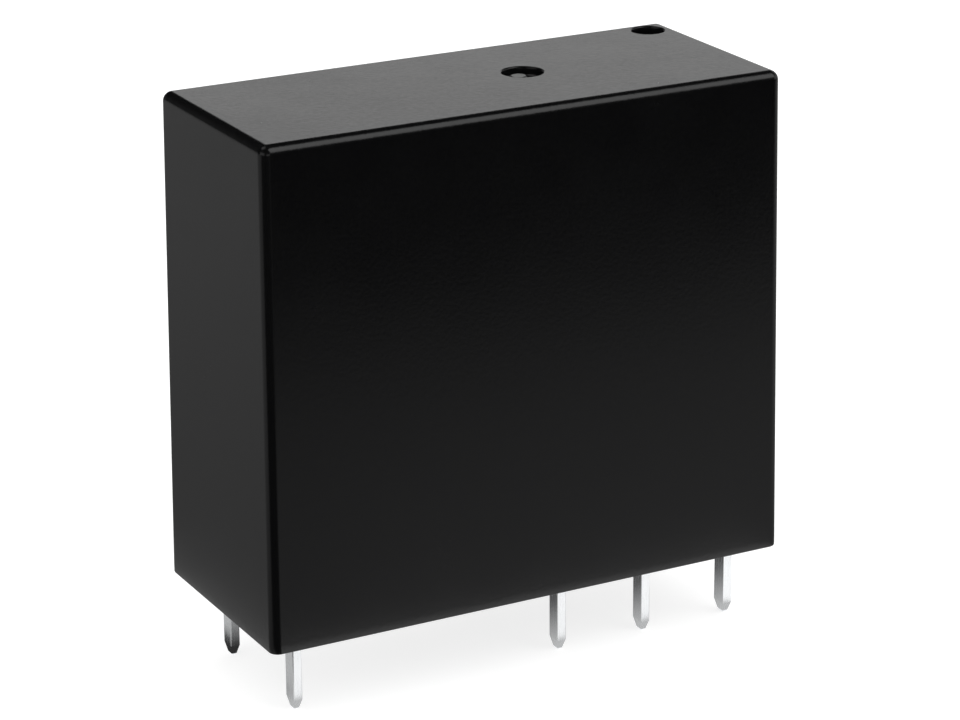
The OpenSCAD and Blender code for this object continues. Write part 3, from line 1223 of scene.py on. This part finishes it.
@dataclass(frozen=True)
class PhotoCamera:
    """The photograph's camera, fitted to the corners of the cover.

    Attributes:
        azimuth_deg: The turn about Z, from looking along +Y.
        elevation_deg: The height above the horizon.
        roll_deg: The turn about the view.
        distance: From the camera to the origin, along the view.
        aside: Where the origin lies to the right of the view's middle.
        below: Where the origin lies below the view's middle.
        focal_px: The focal length in pixels of the photograph.
        clip: The nearest and the farthest distance that it sees.
    """

    azimuth_deg: float = -28.05
    elevation_deg: float = 19.41
    roll_deg: float = 0.39
    distance: float = 179.3 * MM
    aside: float = -0.17 * MM
    below: float = 10.24 * MM
    focal_px: float = 3461.0
    clip: Pair = (0.01, 10.0)

    def place(self) -> None:
        """Put the camera in the scene."""
        data = bpy.data.cameras.new("photo_camera")
        data.sensor_width = SENSOR_MM
        data.lens = self.focal_px / FRAME_WIDTH_PX * SENSOR_MM
        data.clip_start, data.clip_end = self.clip
        camera = bpy.data.objects.new("photo_camera", data)
        bpy.context.scene.collection.objects.link(camera)
        turns = ((self.azimuth_deg, "Z"), (90 - self.elevation_deg, "X"), (-self.roll_deg, "Z"))
        view = Matrix()
        for angle_deg, axis in turns:
            view = view @ Matrix.Rotation(math.radians(angle_deg), 4, axis)
        eye = Matrix.Translation((-self.aside, self.below, self.distance))
        camera.matrix_world = view @ eye
        bpy.context.scene.camera = camera


@dataclass(frozen=True)
class SoftBox:
    """A soft studio lamp of a given brightness.

    Attributes:
        name: What it is.
        place: Where it stands.
        size: Its width and height.
        brightness: Its radiance, where 1 is white.
        aim: What it points at.
    """

    name: str
    place: Place
    size: Pair
    brightness: float
    aim: Place = (0.0, 0.0, 0.02)

    def build(self) -> None:
        """Put the lamp in the scene."""
        data = bpy.data.lights.new(self.name, "AREA")
        data.shape = "RECTANGLE"
        data.size, data.size_y = self.size
        data.energy = self.brightness * math.pi * self.size[0] * self.size[1]
        lamp = bpy.data.objects.new(self.name, data)
        bpy.context.scene.collection.objects.link(lamp)
        lamp.location = self.place
        along = Vector(self.aim) - Vector(self.place)
        lamp.rotation_mode = "QUATERNION"
        lamp.rotation_quaternion = along.to_track_quat("-Z", "Y")
        lamp.visible_camera = False


# One lamp makes the roof bright and one draws the light line along its front edge. The rest
# light the sides that the photograph doesn't show.
LAMPS = (
    SoftBox("back_softbox", (0.34, 0.365, 0.16), (0.48, 0.26), 0.76, (0.0, 0.0, 0.015)),
    SoftBox("top_softbox", (0.22, -0.26, 0.38), (0.36, 0.36), 1.6),
    SoftBox("overhead_softbox", (-0.2, 0.16, 0.5), (0.3, 0.3), 0.7),
    SoftBox("left_softbox", (-0.48, -0.1, 0.14), (0.5, 0.22), 0.6),
    SoftBox("right_softbox", (0.48, -0.13, 0.14), (0.5, 0.22), 0.6),
    SoftBox("front_strip", (-0.12, -0.5, 0.09), (0.35, 0.14), 0.6),
    SoftBox("back_strip", (-0.03, 0.5, 0.07), (0.28, 0.1), 0.5),
)


def show_in_gloss_only(piece: Object) -> None:
    """Let a piece of the stage be seen in reflections and nowhere else.

    Args:
        piece: The piece.
    """
    for rays in ("camera", "diffuse", "transmission", "shadow", "volume_scatter"):
        setattr(piece, f"visible_{rays}", False)


@dataclass(frozen=True)
class Card:
    """A flat glowing card by the relay, seen only in gloss: it paints the reflections in the relay's
    black sides and pins.

    Attributes:
        name: What it is.
        low: Its lowest X and Y, in mm.
        high: Its highest X and Y, in mm.
        levels: Its brightness at the start and the end of its run.
        run: The direction in which its brightness changes.
        span: The start and the end of its run, in mm, or None for its own edges.
        lean: By how much it is dimmed at the start and the end of the run across.
        lean_span: The start and the end of the run across, in mm.
    """

    name: str
    low: Point
    high: Point
    levels: Pair
    run: Along = Along.Y
    span: Pair | None = None
    lean: Pair = (1.0, 1.0)
    lean_span: Pair = (0.0, 1.0)

    def material(self) -> Material:
        """Make the card's graded glow, the painted reflection that it gives.

        Returns:
            The material.
        """
        material = bare_material(self.name)
        tree = material.node_tree
        place = add_node(tree, "ShaderNodeTexCoord").outputs["Object"]
        parts = add_node(tree, "ShaderNodeSeparateXYZ", {"Vector": place}).outputs
        axis = self.run.value
        span = self.span or (self.low[axis], self.high[axis])
        changes = ((parts[axis], span, self.levels), (parts[1 - axis], self.lean_span, self.lean))
        ramps = []
        for along, (start, end), (first, last) in changes:
            ends = {"From Min": start * MM, "From Max": end * MM, "To Min": first, "To Max": last}
            ramps.append(add_node(tree, "ShaderNodeMapRange", {"Value": along, **ends}))
        both = dict(zip(("Value", "Value_001"), ramps))
        level = add_node(tree, "ShaderNodeMath", both, operation="MULTIPLY")
        face = add_node(tree, "ShaderNodeEmission", {"Strength": level})
        add_node(tree, "ShaderNodeOutputMaterial", {"Surface": face})
        return material

    def build(self, height: float) -> Object:
        """Lay the card down.

        Args:
            height: How high it lies.

        Returns:
            The card.
        """
        low = (self.low[0] * MM, self.low[1] * MM)
        high = (self.high[0] * MM, self.high[1] * MM)
        mesh = flat_mesh(low, high, height, self.name)
        mesh.materials.append(self.material())
        card = add_object(self.name, mesh)
        show_in_gloss_only(card)
        return card


# Each card paints the reflection that one side of the relay, or its pins, shows there: painted
# reflections of a floor that dims away from the relay, and painted shade where the cards are dark.
CARDS = (
    # Painted shade: the reflections of the floor under the relay are dark, fading in towards its
    # back.
    Card("under_card", (-13.6, -5.5), (13.6, 3.6), (0.55, 0.03), span=(-3.8, 2.0)),
    Card("under_corner_card", (-13.6, 3.6), (-11.2, 7.0), (0.03, 0.03)),
    Card("rear_corner_card", (-13.6, 7.0), (-11.2, 14.0), (0.6, 0.5)),
    Card("rear_foot_card", (-11.2, 3.6), (19.0, 14.0), (0.5, 0.4)),
    Card("right_foot_card", (13.6, -3.5), (19.0, 3.6), (0.5, 0.4), Along.X),
    Card(
        "front_card",
        (-12.0, -56.0),
        (CARD_REACH, -14.5),
        (0.36, 0.22),
        span=(-17.0, -56.0),
        lean=(0.85, 1.2),
        lean_span=(-8.0, 50.0),
    ),
    Card("far_front_card", (0.0, -CARD_REACH), (CARD_REACH, -56.0), (0.2, 0.0), span=(-56.0, -70.0)),
    Card("far_left_card", (-12.0, -CARD_REACH), (0.0, -56.0), (0.12, 0.12)),
    Card("corner_card", (-CARD_REACH, -CARD_REACH), (-12.0, -8.5), (0.02, 0.02)),
    Card("left_foot_card", (-19.0, -8.5), (-13.6, 20.0), (0.5, 0.5)),
    Card("left_card", (-CARD_REACH, -8.5), (-19.0, CARD_REACH), (0.19, 0.3), Along.X, (-19.0, -55.0)),
    Card("right_card", (19.0, -14.5), (CARD_REACH, CARD_REACH), (0.25, 0.33), Along.X, (19.0, 55.0)),
    Card("rear_card", (-19.0, 14.0), (19.0, CARD_REACH), (0.25, 0.33), span=(14.0, 55.0)),
)


@dataclass(frozen=True)
class Studio:
    """The pale floor, the dark room round it, the lamps and the cards."""

    floor_height: float
    floor_half: float = 2.0
    floor_shade: str = "#bcbcbc"
    floor_glow: float = 0.75
    room_radius: float = 1.6
    room_level: float = 0.01
    room_subdivisions: int = 3
    fill_level: float = 0.75
    card_lift: float = 0.1 * MM

    def seen_ray(self, tree: NodeTree) -> Node:
        """Tell the rays that look at the stage from those that light the object.

        Args:
            tree: The tree of the floor or the world.

        Returns:
            A node that gives 1 for camera, glossy and transmission rays, and 0 for the rest.
        """
        rays = add_node(tree, "ShaderNodeLightPath").outputs
        seen = rays["Is Camera Ray"]
        for kind in ("Is Glossy Ray", "Is Transmission Ray"):
            either = {"Value": seen, "Value_001": rays[kind]}
            seen = add_node(tree, "ShaderNodeMath", either, operation="MAXIMUM")
        return seen

    def floor_material(self) -> Material:
        """Make the white paper of the floor, which is clear from below.

        Returns:
            The material.
        """
        material = bare_material("white_paper_floor")
        tree = material.node_tree
        paper = add_node(tree, "ShaderNodeBsdfDiffuse", {"Color": linear(self.floor_shade)})
        strength = add_node(
            tree,
            "ShaderNodeMath",
            {"Value": self.seen_ray(tree), "Value_001": self.floor_glow},
            operation="MULTIPLY",
        )
        glow = add_node(tree, "ShaderNodeEmission", {"Strength": strength})
        lit = add_node(tree, "ShaderNodeAddShader", {"Shader": paper, "Shader_001": glow})
        below = add_node(tree, "ShaderNodeNewGeometry").outputs["Backfacing"]
        clear = add_node(tree, "ShaderNodeBsdfTransparent")
        sides = {"Fac": below, "Shader": lit, "Shader_001": clear}
        face = add_node(tree, "ShaderNodeMixShader", sides)
        add_node(tree, "ShaderNodeOutputMaterial", {"Surface": face})
        return material

    def floor(self) -> Object:
        """Lay the floor under the tips of the pins.

        Returns:
            The floor.
        """
        half = self.floor_half
        mesh = flat_mesh((-half, -half), (half, half), self.floor_height, "floor")
        mesh.materials.append(self.floor_material())
        return add_object("floor", mesh)

    def room(self) -> Object:
        """Make the dark room that the gloss of the relay shows.

        Returns:
            The room.
        """
        material = bare_material("dark_room")
        tree = material.node_tree
        dim = add_node(tree, "ShaderNodeEmission", {"Strength": self.room_level})
        add_node(tree, "ShaderNodeOutputMaterial", {"Surface": dim})
        shape = bmesh.new()
        bmesh.ops.create_icosphere(
            shape, subdivisions=self.room_subdivisions, radius=self.room_radius
        )
        mesh = plain_mesh(shape, "room")
        mesh.materials.append(material)
        room = add_object("room", mesh)
        show_in_gloss_only(room)
        return room

    def light_world(self) -> None:
        """Give the world a low even fill, and white where it is looked at."""
        world = bpy.data.worlds.new("studio_world")
        bpy.context.scene.world = world
        world.use_nodes = True
        tree = world.node_tree
        tree.nodes.clear()
        strength = add_node(
            tree,
            "ShaderNodeMapRange",
            {"Value": self.seen_ray(tree), "To Min": self.fill_level, "To Max": 1.0},
        )
        white = linear("#ffffff")
        sky = add_node(tree, "ShaderNodeBackground", {"Color": white, "Strength": strength})
        add_node(tree, "ShaderNodeOutputWorld", {"Surface": sky})

    def build(self) -> None:
        """Set up the whole stage."""
        self.light_world()
        stage = [self.floor(), self.room()]
        for card in CARDS:
            stage.append(card.build(self.floor_height + self.card_lift))
        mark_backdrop(*stage)
        for lamp in LAMPS:
            lamp.build()
        log.info("stage of %d pieces and %d lamps", len(stage), len(LAMPS))


def dress_nodes(
    nodes: Mapping[str, Object],
    slots: Mapping[str, Slot],
    materials: Mapping[Slot, Material],
) -> None:
    """Give each CAD node the material of its slot, and rounded edges if it is shown.

    Args:
        nodes: The CAD nodes.
        slots: The slot of each node.
        materials: The material of each slot.
    """
    leaves = [f"moving_spring_{side}" for side in SIDES]
    for name, node in nodes.items():
        node.data.materials.clear()
        node.data.materials.append(materials[slots[name]])
        edge = FINISHES[slots[name]].edge_mm
        if edge > 0 and name not in leaves:
            soften(node, edge * MM)
            log.info("%s keeps its CAD shape", name)


def main() -> None:
    """Build and dress the relay on its stage."""
    logging.basicConfig(level=logging.INFO, format="%(name)s: %(message)s")
    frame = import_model()
    cad_low, cad_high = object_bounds()
    bpy.context.scene.view_settings.view_transform = "Standard"

    nodes = frame["nodes"]
    materials = {slot: finish.material() for slot, finish in FINISHES.items()}
    slots = {part["node"]: Slot(part["material_slot"]) for part in frame["record"]["subparts"]}
    dress_nodes(nodes, slots, materials)

    cover = Cover(high=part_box("cover")[1]).build(materials[Slot.COVER])
    hand_over(cover, "cover")

    resin = SealingResin(*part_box("sealing_resin"), nodes).build(materials[Slot.RESIN])
    hand_over(resin, "sealing_resin")

    coil = Coil(*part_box("coil_winding"), wound_wire())
    hand_over(coil.winding(materials[Slot.COIL]), "coil_winding")
    for side in SIDES:
        lead = coil.lead(side, materials[Slot.COIL])
        hand_over(lead, f"coil_lead_{side}")

    for side in SIDES:
        spring = MovingSpring(side, nodes[f"moving_spring_{side}"])
        leaf = spring.build(materials[Slot.SPRING])
        spring.bind(leaf)

    Studio(floor_height=cad_low.z).build()
    PhotoCamera().place()


if __name__ == "__main__":
    main()
